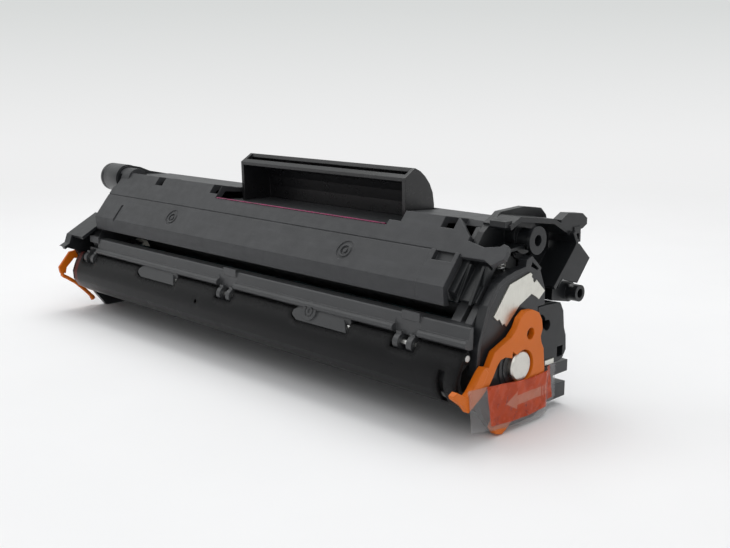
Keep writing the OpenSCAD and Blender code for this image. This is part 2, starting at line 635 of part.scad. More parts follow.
module side_cover_right() {
  x0 = deck_x1 + near;
  color("#4d4f52") at_axis() difference() {
    union() {
      along_x(x0, x0 + 3) polygon([
        [14, 19.4], [14, -4.9], [28, -4.9], [29, 2], [29, 20], [31, 28], [36, 40], [36, 46],
        [33.5, 52.6], [30, 55.6], [19, 57.2], [4, 56.6], [-2, 52.6], on_deck(26, deck_t + near),
        on_deck(0, deck_t + near), on_deck(-1, 7), on_deck(20, 7), [9.6, 42], [19, 36], [19, 22]]);
      along_x(x0, face_x - 2) {
        polygon(band([[37.5, 46.6], [25.7, 52.6], [3.4, 55.7], [-3, 53]], 2));
        polygon(band([[28.6, -3], [30.6, 6], [29.4, 18], [27, 19.6], [18.6, 20.2]], 1.8));
      }
      along_x(x0, face_x) polygon(band([[24.9, 25], [40.1, 40.6], [37.5, 46.6]], 1.8));
      block(half - 12.7, half - 5.7, -5.3, -1, 52.4, 54.6);
      along_x(face_x - 3, face_x) polygon([
        [18.4, 19.8], [28.8, 19.2], [31.1, 15.5], [32, 8.6], [33.5, 4.9], [34, -1], [31.4, -4.3],
        [28.4, -4.9], [14, -4.9], [14, 19.8]]);
      rod(7.2, x0, half - 10, [13.5, 47]);
      rod(4.2, x0, half - 3, boss_at);
      rod(5.4, half - 4.5, half - 3, boss_at);
      rod(4.2, x0 + 1, half - 7, stud_at);
      rod(3.4, x0 + 1, half - 2, stud_at);
      along_x(x0, half - 7) polygon([[28.5, 19.3], [40.9, 16.9], [40.9, 25.2], [28.8, 27.6]]);
      along_x(half - 9, half - 5) polygon([
        [30, 49], [30, 51.7], [35, 54], [45, 52.9], [48.4, 50.6], [48.4, 48.2], [45.5, 46.8],
        [36.4, 45.7]]);
      along_x(half - 6, half - 4.5) polygon([[38.6, 48], [43.2, 48], [43.4, 41.6], [39.2, 41.6]]);
      along_x(half - 5, half - 3) polygon([
        [38.2, 41.6], [40.5, 41.3], [48.4, 34.5], [40.1, 25.3], [29.8, 28.5], [26.4, 25.5]]);
      along_x(x0, half - 6) polygon([
        on_deck(-1, 5.5), on_deck(20.5, 5.5), [8, 44.6], [8, 43.1], on_deck(20.5, 7), on_deck(-1, 7)]);
      for (x = [half - 14.8, half - 8.6]) along_x(x, x + 1.2) polygon([
        on_deck(-2.6, 4.8), on_deck(12.6, 2.6), on_deck(12.6, 5.6), on_deck(-2.6, 5.6)]);
      along_x(half - 7.2, half - 6) polygon([
        on_deck(6, 5), on_deck(12.6, 2.6), on_deck(12.6, 5.6), on_deck(6, 5.6)]);
    }
    rod(2.2, half - 9, half + 1, boss_at);
    rod(1.9, half - 9, half + 1, stud_at);
    rod(2.2, face_x - 4, half + 1, [20.1, 11.6]);
    rod(dev_bearing_r, x0 - 1, x0 + 4, dev_at);
    rod(dev_journal_r + gap, x0, half, dev_at);
    rod(plug_r + 0.5, x0 - 1, x0 + 4, plug_at);
    rod(agitator_r + 0.5, x0 - 1, x0 + 4, agitator_at);
    block(face_x - 4, half + 1, 27.6, 31.6, -3, 1.3);
    block(half - 7, half - 4, 39.8, 42.2, 42.8, 45.2);
  }
}
// Outside of the gear cover, from its foot at the back over the top to its front
gear_cover_path = [
  [30.5, 2], [37.4, 12], [40.2, 22], [40.4, 36], [36, 45], [24, 51], [12, 53.5], [6, 56], [0, 57.3],
  [-5, 56.4], [-8.6, 52], [-8.5, 48], [-3, 42.5]];
module gear_cover_outline() {
  polygon(concat(gear_cover_path, [
    [-7.5, 35], [-13.5, 28], [-12.5, 22.5], [9, 22.5], [14.6, 16.6], [25, 9.3], [27, 8], [27.5, 0]]));
}
module gear_cover_left() {
  color("#45474a") at_axis() difference() {
    union() {
      along_x(-half + 0.6, -half + 2.6) gear_cover_outline();
      along_x(-half + 2.6, deck_x0 - near) polygon(band(gear_cover_path, 2));
      rod(top_boss_r + 0.8, -half + 5, deck_x0 - near, top_boss_at);
    }
    rod(agitator_r + gap, -half + 2.6, deck_x0, agitator_at);
    rod(4.6, -half - 1, deck_x0, top_boss_at);
    rod(gear_m * agitator_teeth / 2 + 1.4, -half + 2.6, deck_x0 - 4, agitator_at);
  }
}
module developer_sleeve() {
  color("#3a3b3d") at_axis() ring(dev_r, dev_core_r + fit, drum_x0 + 4, drum_x1 - 4, dev_at);
}
module developer_shaft() {
  color("#aeb2b4") at_axis() {
    rod(dev_core_r, drum_x0 + 3, drum_x1 - 3, dev_at);
    rod(dev_journal_r, gear_x0, cap_x - 1, dev_at);
  }
}
module developer_bearings() {
  color("#e6e3d8") at_axis() {
    ring(dev_bearing_r - fit / 2, dev_journal_r + fit, deck_x1 - hopper_wall, deck_x1 + 3, dev_at);
    ring(dev_bearing_r - fit / 2, dev_journal_r + fit, deck_x0 - 2, deck_x0 + hopper_wall, dev_at);
  }
}
module developer_gear() {
  color("#dfe0dc") at_axis() difference() {
    along_x(gear_x0, gear_x0 + gear_w) translate(dev_at) teeth(dev_teeth, dev_phase);
    rod(dev_journal_r + fit, gear_x0 - 1, gear_x0 + gear_w + 1, dev_at);
  }
}
module doctor_blade() {
  color("#9fa4a6") at_axis() along_x(deck_x0 + hopper_wall + 1, deck_x1 - hopper_wall - 1) polygon(band([
    doctor_edge, doctor_edge + 7 * doctor_dir], -doctor_t));
}
module doctor_bracket() {
  color("#b4b8ba") at_axis() along_x(deck_x0 + hopper_wall + 1, deck_x1 - hopper_wall - 1) polygon(band([
    doctor_edge + 2 * doctor_dir, doctor_edge + 8 * doctor_dir, [2.2, 21.65]], bracket_t));
}
module doctor_screws() {
  color("#a9acae") at_axis() for (x = [deck_x0 + 10, deck_x1 - 10])
    outward(x, doctor_edge + 4.5 * doctor_dir + (doctor_t + 0.02) * polar(1, 60), 60)
      cylinder(r = 1.8, h = 1.2, $fn = 32);
}
module agitator_shaft() {
  color("#e4e2da") at_axis() rod(agitator_r, gear_x0, deck_x1 + 1, agitator_at);
}
module agitator_film() {
  color("#cfd6d8") at_axis() along_x(deck_x0 + 8, deck_x1 - 8) translate(agitator_at) polygon([
    [agitator_r + 0.1, 0], [film_r, 0], [film_r, 0.4], [agitator_r + 0.1, 0.4]]);
}
module agitator_gear() {
  color("#e4e2da") at_axis() difference() {
    along_x(gear_x0, gear_x0 + gear_w) translate(agitator_at) teeth(agitator_teeth, agitator_phase);
    rod(agitator_r + fit, gear_x0 - 1, gear_x0 + gear_w + 1, agitator_at);
  }
}
module idler_gear() {
  color("#dfe0dc") at_axis() difference() {
    along_x(gear_x0, gear_x0 + gear_w) translate(idler_at) teeth(idler_teeth, idler_phase);
    rod(3, gear_x0 - 1, gear_x0 + gear_w + 1, idler_at);
  }
}
module idler_pin() {
  color("#a9acae") at_axis() {
    rod(3 - fit, gear_x0 - 1, deck_x0 - 0.05, idler_at);
    rod(5, gear_x0 + gear_w + gap, deck_x0 - 0.05, idler_at);
  }
}
module fill_plug() {
  color("#2c2d30") at_axis() {
    rod(plug_r - fit, deck_x1 - 6, deck_x1, plug_at);
    rod(plug_r + 0.2, deck_x1, deck_x1 + 1.2, plug_at);
  }
}
module joint_pins() {
  color("#b9bcbc") at_axis() {
    rod(pin_r, deck_x1 - 4.8, cap_x - 0.2, pin_at);
    rod(pin_r, frame_left, deck_x0 + 4.8, pin_at);
  }
}
module joint_springs() {
  color("#c4c6c4") at_axis() for (x = [deck_x0 - 4, deck_x1 + 8])
    translate([x, -2, 35.2]) coil(1.8, 0.35, 7, 5);
}
module cap_screws() {
  color("#a9acae") at_axis() for (p = [[-12, -17], [19, -12], [2, 15]])
    rod(2.4, -half - 1.2, -half - 0.02, p);
}
module transport_clip_right() {
  color("#f08228") at_axis() difference() {
    union() {
      along_x(clip_x, clip_x + clip_t) polygon(concat(
        clip_outer, round_edge(axle_r + 0.5, -115, 125, 24), clip_inner));
      along_x(clip_x, clip_x + clip_t + grip_t) polygon([
        [-30.6, -3.2], [-25.3, 3.3], [-23.4, 4.7], [-21.5, 2.5], [-28, -7.5], [-31.2, -9.4]]);
    }
    rod(2.3, clip_x - 1, clip_x + clip_t + 1, [4.2, 12]);
  }
}
module transport_clip_left() {
  spoke = [[-35.6, -3.6], [-17.8, -20.2]];
  color("#f08228") at_axis() {
    along_x(-half - 2.2, -half - 0.2) difference() {
      polygon([
        [-31.4, 9.3], [-38.4, 1.1], [-36.9, -2.7], [-30, -7], [-14, -3], [-9, -9], [-10, 9], [-14, 5],
        [-27, 9.6]]);
      circle(r = 9.6, $fn = 64);
    }
    outward(-half - 1.2, spoke[0], heading(spoke[0], spoke[1]))
      cylinder(r = 0.95, h = norm(spoke[1] - spoke[0]), $fn = 24);
  }
}
module pull_tape() {
  front = clip_x + clip_t + 0.4;
  color("#c8503c") at_axis() intersection() {
    translate([0, 0, -axis_h]) linear_extrude(axis_h) polygon(band([
      [front + 0.4, -34], [front + 0.4, -20], [front, -12], [front, 14.6], [face_x + 1, 21],
      [face_x + 0.9, 26]], -tape_t));
    along_x(face_x - 2, half + 6) polygon([
      [-33.4, -1.6], [-21.6, -2.6], [-9.4, -4.1], [2.2, -5.3], [14.3, -5], [25.8, -4.4], [25.8, -18.5],
      [23.3, -20.1], [10.9, -23.1], [-2.7, -22.5], [-17.1, -20.4], [-31, -17.8], [-32, -8.4]]);
  }
}

drum_frame();
drum_end_cap_right();
drum_end_cap_left();
contact_plate();
side_contact();
axle_bush();
drum_axle_pin();
opc_drum();
drum_flange_right();
drum_drive_gear();
charge_roller_rubber();
charge_roller_shaft();
charge_bearings();
charge_springs();
cleaning_blade();
blade_bracket();
blade_screws();
cover_rod();
drum_cover();
toner_hopper();
hopper_lid();
carry_handle();
label_strip();
side_cover_right();
gear_cover_left();
developer_sleeve();
developer_shaft();
developer_bearings();
developer_gear();
doctor_blade();
doctor_bracket();
doctor_screws();
agitator_shaft();
agitator_film();
agitator_gear();
idler_gear();
idler_pin();
fill_plug();
joint_pins();
joint_springs();
cap_screws();
transport_clip_right();
transport_clip_left();
pull_tape();
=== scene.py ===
"""Looks of the toner cartridge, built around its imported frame."""

import math

import bmesh
import bpy
from mathutils import Matrix, Vector


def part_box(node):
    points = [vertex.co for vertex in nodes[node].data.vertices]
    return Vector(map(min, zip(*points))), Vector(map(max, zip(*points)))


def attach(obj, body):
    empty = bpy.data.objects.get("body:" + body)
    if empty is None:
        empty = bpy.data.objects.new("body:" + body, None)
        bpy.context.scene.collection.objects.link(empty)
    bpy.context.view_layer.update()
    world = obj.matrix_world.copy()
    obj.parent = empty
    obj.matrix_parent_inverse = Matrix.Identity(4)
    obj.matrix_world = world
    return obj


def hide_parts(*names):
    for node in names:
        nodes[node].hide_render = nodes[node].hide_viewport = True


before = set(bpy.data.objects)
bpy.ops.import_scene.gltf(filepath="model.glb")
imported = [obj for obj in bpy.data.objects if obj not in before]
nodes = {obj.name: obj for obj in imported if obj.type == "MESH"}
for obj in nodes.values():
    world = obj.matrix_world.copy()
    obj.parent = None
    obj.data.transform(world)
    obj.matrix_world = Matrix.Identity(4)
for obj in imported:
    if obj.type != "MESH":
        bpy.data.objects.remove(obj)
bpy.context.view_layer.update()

# The drum axis in the part's frame, in millimetres: how far in front of its origin, and how high
AXIS_FRONT = 4.2
AXIS_HEIGHT = 24.0
MM_PER_M = 1000


def add_object(name, data):
    """A new object in the scene that shows data."""
    obj = bpy.data.objects.new(name, data)
    bpy.context.scene.collection.objects.link(obj)
    return obj


# Camera: its place and lens come from the photograph's own perspective
CAMERA_PLACE = (0.345, -0.2837, 0.1307)
CAMERA_LENS = 46.36
forward = Vector((-0.6972, 0.6866, -0.2061)).normalized()
right = Vector((0.7017, 0.7125, 0.0)).normalized()
upward = right.cross(forward).normalized()
cam = bpy.data.cameras.new("camera")
cam.lens = CAMERA_LENS
cam.sensor_width = 36.0
cam.clip_end = 20.0
cam_obj = add_object("camera", cam)
rot = Matrix((right, upward, -forward)).transposed()
cam_obj.matrix_world = Matrix.Translation(CAMERA_PLACE) @ rot.to_4x4()
bpy.context.scene.camera = cam_obj


def new_material(name):
    """A node material, its nodes and links, and its main shader."""
    mat = bpy.data.materials.new(name)
    mat.use_nodes = True
    return mat, mat.node_tree.nodes, mat.node_tree.links, mat.node_tree.nodes["Principled BSDF"]


def mm_coords(tree_nodes, links, scale=(1.0, 1.0, 1.0)):
    """Object coordinates in millimetres, stretched by scale."""
    coord = tree_nodes.new("ShaderNodeTexCoord")
    mapping = tree_nodes.new("ShaderNodeMapping")
    mapping.inputs["Scale"].default_value = [MM_PER_M * s for s in scale]
    links.new(coord.outputs["Object"], mapping.inputs["Vector"])
    return mapping.outputs["Vector"]


def noise(tree_nodes, links, vector, per_mm, detail=3.0, rough=0.55):
    """Noise from 0 to 1, with its scale per millimetre."""
    tex = tree_nodes.new("ShaderNodeTexNoise")
    tex.inputs["Scale"].default_value = per_mm
    tex.inputs["Detail"].default_value = detail
    tex.inputs["Roughness"].default_value = rough
    links.new(vector, tex.inputs["Vector"])
    return tex.outputs["Fac"]


def ramp(tree_nodes, links, fac, low, high, start=0.3, end=0.7):
    """A colour ramp from low to high over fac."""
    node = tree_nodes.new("ShaderNodeValToRGB")
    node.color_ramp.elements[0].position = start
    node.color_ramp.elements[1].position = end
    node.color_ramp.elements[0].color = (*low, 1.0)
    node.color_ramp.elements[1].color = (*high, 1.0)
    links.new(fac, node.inputs["Fac"])
    return node.outputs["Color"]


def spread(tree_nodes, links, fac, low, high, start=0.3, end=0.7):
    """Maps fac from start..end to low..high."""
    node = tree_nodes.new("ShaderNodeMapRange")
    node.inputs["From Min"].default_value = start
    node.inputs["From Max"].default_value = end
    node.inputs["To Min"].default_value = low
    node.inputs["To Max"].default_value = high
    links.new(fac, node.inputs["Value"])
    return node.outputs["Result"]


def bump(tree_nodes, links, bsdf, height, distance, strength=1.0, normal=None):
    """Bumps the shader's surface by height, over a normal where one is given."""
    node = tree_nodes.new("ShaderNodeBump")
    node.inputs["Strength"].default_value = strength
    node.inputs["Distance"].default_value = distance
    links.new(height, node.inputs["Height"])
    if normal is not None:
        links.new(normal, node.inputs["Normal"])
    links.new(node.outputs["Normal"], bsdf.inputs["Normal"])


def edge_parts(tree_nodes, links, radius):
    """The rounded normal of an edge of that radius, and a mask that is 1 on the edge."""
    bevel = tree_nodes.new("ShaderNodeBevel")
    bevel.samples = 4
    bevel.inputs["Radius"].default_value = radius
    geometry = tree_nodes.new("ShaderNodeNewGeometry")
    dot = tree_nodes.new("ShaderNodeVectorMath")
    dot.operation = "DOT_PRODUCT"
    links.new(bevel.outputs["Normal"], dot.inputs[0])
    links.new(geometry.outputs["Normal"], dot.inputs[1])
    on_edge = spread(tree_nodes, links, dot.outputs["Value"], 1.0, 0.0, 0.82, 0.995)
    return bevel.outputs["Normal"], on_edge


def blend_colour(tree_nodes, links, fac, below, above):
    """Colour below where fac is 0 and above where it is 1. Each is a socket or a colour."""
    mix = tree_nodes.new("ShaderNodeMix")
    mix.data_type = "RGBA"
    links.new(fac, mix.inputs["Factor"])
    for socket, value in ((mix.inputs[6], below), (mix.inputs[7], above)):
        if isinstance(value, tuple):
            socket.default_value = (*value, 1.0)
        else:
            links.new(value, socket)
    return mix.outputs[2]


def times(tree_nodes, links, a, b):
    """The product of two values, each a socket or a number."""
    return calc(tree_nodes, links, "MULTIPLY", a, b)


def calc(tree_nodes, links, operation, a, b=0.0):
    """A sum, product or other operation of two values, each a socket or a number."""
    node = tree_nodes.new("ShaderNodeMath")
    node.operation = operation
    for socket, value in ((node.inputs[0], a), (node.inputs[1], b)):
        if isinstance(value, (int, float)):
            socket.default_value = value
        else:
            links.new(value, socket)
    return node.outputs[0]


def between(tree_nodes, links, value, low, high, soft=0.12):
    """1 where value is from low to high, with edges soft millimetres wide."""
    rise = spread(tree_nodes, links, value, 0.0, 1.0, low - soft, low + soft)
    fall = spread(tree_nodes, links, value, 1.0, 0.0, high - soft, high + soft)
    return times(tree_nodes, links, rise, fall)


BUMP_DEPTH = 0.0001
LEAST_GRAIN = 0.04


def plastic(name, colour, rough, vary=0.12, grain=0.0, grain_per_mm=1.6, rough_vary=0.06,
            specular=0.5, edge=0.0004, wear_and_highlight=0.5, flow=0.0):
    """Moulded plastic: colour drift, mould grain, uneven gloss, flow streaks, and edges lightened
    partly as wear and partly as painted highlight.
    """
    mat, tn, links, bsdf = new_material(name)
    vec = mm_coords(tn, links)
    slow = noise(tn, links, vec, 0.04, 4.0)
    low = tuple(c * (1 - vary) for c in colour)
    high = tuple(min(1.0, c * (1 + vary)) for c in colour)
    base = ramp(tn, links, slow, low, high)
    if flow:
        streak = noise(tn, links, mm_coords(tn, links, (0.12, 1.0, 1.0)), 0.35, 4.0, 0.6)
        streak = spread(tn, links, streak, 0.0, 1.0, 0.5, 0.75)
        pale = tuple(min(1.0, c * 1.8) for c in colour)
        base = blend_colour(tn, links, times(tn, links, streak, flow), base, pale)
    normal, on_edge = edge_parts(tn, links, edge)
    # Edges get a lighter colour in patches: partly wear, partly a painted highlight where edges
    # catch the light.
    edge_patches = spread(tn, links, noise(tn, links, vec, 0.3, 5.0, 0.7), 0.1, 1.0, 0.35, 0.65)
    rub_and_highlight = times(tn, links, on_edge, edge_patches)
    worn_and_highlight_colour = tuple(min(1.0, c * 2.2 + 0.012) for c in colour)
    links.new(blend_colour(tn, links, times(tn, links, rub_and_highlight, wear_and_highlight), base, worn_and_highlight_colour),
              bsdf.inputs["Base Color"])
    patchy = noise(tn, links, vec, 0.22, 5.0, 0.65)
    gloss = spread(tn, links, patchy, rough - rough_vary, rough + rough_vary)
    fine = noise(tn, links, vec, grain_per_mm, 3.0, 0.6)
    links.new(calc(tn, links, "SUBTRACT", gloss, times(tn, links, rub_and_highlight, 0.08)),
              bsdf.inputs["Roughness"])
    bsdf.inputs["Specular IOR Level"].default_value = specular
    bump(tn, links, bsdf, fine, BUMP_DEPTH, max(grain, LEAST_GRAIN), normal)
    return mat


STRETCH = {"x": (0.03, 1.0, 1.0), "none": (1.0, 1.0, 1.0), "z": (1.0, 1.0, 0.03)}
LINE_DEPTH = 0.00002


def metal(name, colour, rough, along="x", lines=0.25, edge=0.0003):
    """Worked metal with fine lines along one axis, slightly stained."""
    mat, tn, links, bsdf = new_material(name)
    fine = noise(tn, links, mm_coords(tn, links, STRETCH[along]), 6.0, 4.0)
    stain = noise(tn, links, mm_coords(tn, links), 0.3, 5.0, 0.7)
    line_colour = ramp(tn, links, fine, tuple(c * 0.85 for c in colour), colour)
    links.new(blend_colour(tn, links, spread(tn, links, stain, 0.0, 0.5, 0.5, 0.8), line_colour,
                           tuple(c * 0.7 for c in colour)), bsdf.inputs["Base Color"])
    links.new(calc(tn, links, "ADD", spread(tn, links, fine, rough - 0.06, rough + 0.06),
                   spread(tn, links, stain, 0.0, 0.12, 0.4, 0.8)), bsdf.inputs["Roughness"])
    bsdf.inputs["Metallic"].default_value = 1.0
    bump(tn, links, bsdf, fine, LINE_DEPTH, lines, edge_parts(tn, links, edge)[0])
    return mat


deck = plastic("textured_dark_plastic", (0.029, 0.030, 0.0325), 0.50, grain=0.45,
               grain_per_mm=2.2, flow=0.35, edge=0.0005, specular=0.42)
frame_plastic = plastic("frame_plastic", (0.040, 0.041, 0.043), 0.40, grain=0.25,
                        grain_per_mm=2.5, flow=0.2, edge=0.0005)
cap_plastic = plastic("end_plastic", (0.016, 0.017, 0.019), 0.34, grain=0.2, wear_and_highlight=0.7,
                      specular=0.42)
housing_plastic = plastic("housing_plastic", (0.0085, 0.0095, 0.0108), 0.36, grain=0.2,
                          wear_and_highlight=0.6, specular=0.36)
cover_plastic = plastic("cover_plastic", (0.006, 0.006, 0.0066), 0.33, grain=0.12,
                        grain_per_mm=1.2, specular=0.15, edge=0.005, wear_and_highlight=0.1)
handle_plastic = plastic("handle_plastic", (0.009, 0.009, 0.010), 0.30, rough_vary=0.05,
                         grain=0.06, wear_and_highlight=0.8)
dark_plastic = plastic("bush_plastic", (0.010, 0.010, 0.012), 0.3)
white_plastic = plastic("white_plastic", (0.72, 0.70, 0.64), 0.42, vary=0.04, grain=0.1,
                        wear_and_highlight=0.1)
orange_plastic = plastic("orange_plastic", (0.62, 0.135, 0.004), 0.40, vary=0.06, grain=0.15,
                         grain_per_mm=3.0, wear_and_highlight=0.2, edge=0.0005, specular=0.28)
rubber = plastic("roller_rubber", (0.012, 0.012, 0.012), 0.62, grain=0.3, grain_per_mm=5.0)
amber = plastic("blade_rubber", (0.45, 0.26, 0.09), 0.35, vary=0.05)
drum_coat = plastic("drum_coating", (0.03, 0.16, 0.17), 0.14, vary=0.05, rough_vary=0.03)
sleeve = metal("sleeve_metal", (0.10, 0.10, 0.105), 0.5, "none", 0.6)
contact = metal("contact_metal", (0.74, 0.73, 0.67), 0.34, "z")
pin_steel = metal("pin_steel", (0.72, 0.70, 0.65), 0.30, "none", 0.3)
rod_steel = metal("rod_steel", (0.60, 0.60, 0.58), 0.30, "x")
bracket_steel = metal("bracket_steel", (0.5, 0.52, 0.53), 0.36, "x")
spring_steel = metal("spring_steel", (0.52, 0.52, 0.52), 0.32, "none")
blade_steel = metal("blade_steel", (0.45, 0.46, 0.47), 0.24, "x")

# A dark red seal runs round the cover's left end
tn, links = cover_plastic.node_tree.nodes, cover_plastic.node_tree.links
SEAL_FROM, SEAL_TO, SEAL_SOFT = 1.45, 4.55, 0.15
cover_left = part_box("drum_cover")[0][0] * MM_PER_M
cover_bsdf = tn["Principled BSDF"]
plain_colour = cover_bsdf.inputs["Base Color"].links[0].from_socket
along_mm = tn.new("ShaderNodeSeparateXYZ")
links.new(mm_coords(tn, links), along_mm.inputs["Vector"])
seal = between(tn, links, along_mm.outputs["X"], cover_left + SEAL_FROM, cover_left + SEAL_TO,
               SEAL_SOFT)
links.new(blend_colour(tn, links, seal, plain_colour, (0.085, 0.016, 0.013)),
          cover_bsdf.inputs["Base Color"])

looks = {
    "drum_frame": frame_plastic, "drum_end_cap_right": cap_plastic,
    "drum_end_cap_left": cap_plastic, "contact_plate": contact, "side_contact": contact,
    "axle_bush": dark_plastic, "drum_axle_pin": pin_steel, "opc_drum": drum_coat,
    "drum_flange_right": white_plastic, "drum_drive_gear": cap_plastic,
    "charge_roller_rubber": rubber, "charge_roller_shaft": rod_steel,
    "charge_bearings": dark_plastic, "charge_springs": spring_steel, "cleaning_blade": amber,
    "blade_bracket": bracket_steel, "blade_screws": spring_steel, "cover_rod": rod_steel,
    "drum_cover": cover_plastic, "toner_hopper": frame_plastic, "hopper_lid": deck,
    "carry_handle": handle_plastic, "side_cover_right": housing_plastic,
    "gear_cover_left": cap_plastic, "developer_sleeve": sleeve, "developer_shaft": rod_steel,
    "developer_bearings": white_plastic, "developer_gear": white_plastic,
    "doctor_blade": blade_steel, "doctor_bracket": bracket_steel, "doctor_screws": spring_steel,
    "agitator_shaft": white_plastic, "agitator_gear": white_plastic, "idler_gear": white_plastic,
    "idler_pin": rod_steel, "fill_plug": dark_plastic, "joint_pins": rod_steel,
    "joint_springs": spring_steel, "cap_screws": spring_steel,
    "transport_clip_right": orange_plastic, "transport_clip_left": orange_plastic,
}

# Magenta strip behind the deck's top edge
strip, tn, links, bsdf = new_material("magenta_film")
streaks = noise(tn, links, mm_coords(tn, links, (0.3, 1.0, 1.0)), 0.8, 4.0)
links.new(ramp(tn, links, streaks, (0.09, 0.001, 0.028), (0.26, 0.006, 0.085)),
          bsdf.inputs["Base Color"])
bsdf.inputs["Roughness"].default_value = 0.25
bsdf.inputs["Specular IOR Level"].default_value = 0.25
looks["label_strip"] = strip

# Clear film of the agitator
clear, tn, links, bsdf = new_material("clear_film")
haze = noise(tn, links, mm_coords(tn, links), 0.4, 3.0)
links.new(ramp(tn, links, haze, (0.62, 0.66, 0.68), (0.8, 0.83, 0.85)), bsdf.inputs["Base Color"])
bsdf.inputs["Roughness"].default_value = 0.2
bsdf.inputs["Alpha"].default_value = 0.5
looks["agitator_film"] = clear

# Pull tape: a red band on clear film, with a pale arrow that points to the pulling end
def axis_mm(tree_nodes, links):
    """Millimetres back from the drum axis and up from it, as two sockets."""
    coord = tree_nodes.new("ShaderNodeTexCoord")
    split = tree_nodes.new("ShaderNodeSeparateXYZ")
    links.new(coord.outputs["Object"], split.inputs["Vector"])
    y_mm = times(tree_nodes, links, split.outputs["Y"], float(MM_PER_M))
    z_mm = times(tree_nodes, links, split.outputs["Z"], float(MM_PER_M))
    back = calc(tree_nodes, links, "ADD", y_mm, AXIS_FRONT)
    return back, calc(tree_nodes, links, "SUBTRACT", z_mm, AXIS_HEIGHT)


# The band and the arrow, in millimetres back from the drum axis and up from it
RED_BACK = (-23.0, 20.5)
RED_SLANT = 0.18
RED_FOOT = -20.0
FOOT_MIDDLE = 2.0
FOOT_CURVE = 0.0038
ARROW_UP = -12.3
ARROW_HALF = 2.0
SHAFT_BACK = (-3.6, 11.6)
BARS_BACK = ((12.4, 13.1), (14.3, 15.0))
HEAD_BACK = (-10.2, -3.5)
HEAD_SLOPE = 0.53
# How much the clear film, the red band and the arrow each hide
CLEAR_ALPHA, RED_ALPHA, ARROW_ALPHA = 0.18, 0.52, 0.16

tape, tn, links, bsdf = new_material("tape_film")
back_mm, up_mm = axis_mm(tn, links)
wrinkle = noise(tn, links, mm_coords(tn, links), 0.16, 4.0)
aside = calc(tn, links, "ABSOLUTE", calc(tn, links, "SUBTRACT", back_mm, FOOT_MIDDLE))
sag = times(tn, links, calc(tn, links, "POWER", aside, 2.0), FOOT_CURVE)
from_edge = calc(tn, links, "SUBTRACT", up_mm, sag)
slanted = calc(tn, links, "ADD", back_mm, times(tn, links, up_mm, RED_SLANT))
red_zone = times(tn, links, between(tn, links, slanted, *RED_BACK),
                 spread(tn, links, from_edge, 0.0, 1.0, RED_FOOT - 0.3, RED_FOOT))
axis_off = calc(tn, links, "ABSOLUTE", calc(tn, links, "ADD", up_mm, -ARROW_UP))
in_width = spread(tn, links, axis_off, 1.0, 0.0, ARROW_HALF - 0.2, ARROW_HALF)
shaft = times(tn, links, between(tn, links, back_mm, *SHAFT_BACK), in_width)
two_bars = calc(tn, links, "ADD", *(between(tn, links, back_mm, *bar) for bar in BARS_BACK))
bars = times(tn, links, two_bars, in_width)
from_tip = calc(tn, links, "ADD", back_mm, -HEAD_BACK[0])
head_room = calc(tn, links, "SUBTRACT", times(tn, links, from_tip, HEAD_SLOPE), axis_off)
head = times(tn, links, between(tn, links, back_mm, *HEAD_BACK),
             spread(tn, links, head_room, 0.0, 1.0, -0.1, 0.1))
arrow = calc(tn, links, "MAXIMUM", calc(tn, links, "MAXIMUM", shaft, bars), head)
red = ramp(tn, links, wrinkle, (0.42, 0.040, 0.006), (0.62, 0.078, 0.013))
film = blend_colour(tn, links, red_zone, (0.40, 0.39, 0.39), red)
links.new(blend_colour(tn, links, times(tn, links, arrow, 0.75), film, (0.50, 0.22, 0.15)),
          bsdf.inputs["Base Color"])
see = calc(tn, links, "ADD", CLEAR_ALPHA, times(tn, links, red_zone, RED_ALPHA))
links.new(calc(tn, links, "ADD", see, times(tn, links, arrow, ARROW_ALPHA)), bsdf.inputs["Alpha"])
links.new(spread(tn, links, wrinkle, 0.16, 0.34), bsdf.inputs["Roughness"])
bsdf.inputs["Specular IOR Level"].default_value = 0.3
bump(tn, links, bsdf, wrinkle, 0.0005, 0.12)
looks["pull_tape"] = tape

for name, obj in nodes.items():
    obj.data.materials.clear()
    obj.data.materials.append(looks[name])

# The tape as a thin curved film that follows its CAD solid
def placed(x, y, z):
    """Metres in the part's frame for x along the drum, y back and z up from its axis, in mm."""
    return (x / MM_PER_M, (y - AXIS_FRONT) / MM_PER_M, (z + AXIS_HEIGHT) / MM_PER_M)


def along(points, at):
    """Eased height at a place on a line of (place, height) points."""
    for (a0, h0), (a1, h1) in zip(points, points[1:]):
        if at <= a1:
            t = min(max((at - a0) / (a1 - a0), 0.0), 1.0)
            return h0 + (h1 - h0) * t * t * (3 - 2 * t)
    return points[-1][1]


def straight(points, at):
    """Height at a place on a line of (place, height) points."""
    for (a0, h0), (a1, h1) in zip(points, points[1:]):
        if at <= a1:
            return h0 + (h1 - h0) * min(max((at - a0) / (a1 - a0), 0.0), 1.0)
    return points[-1][1]


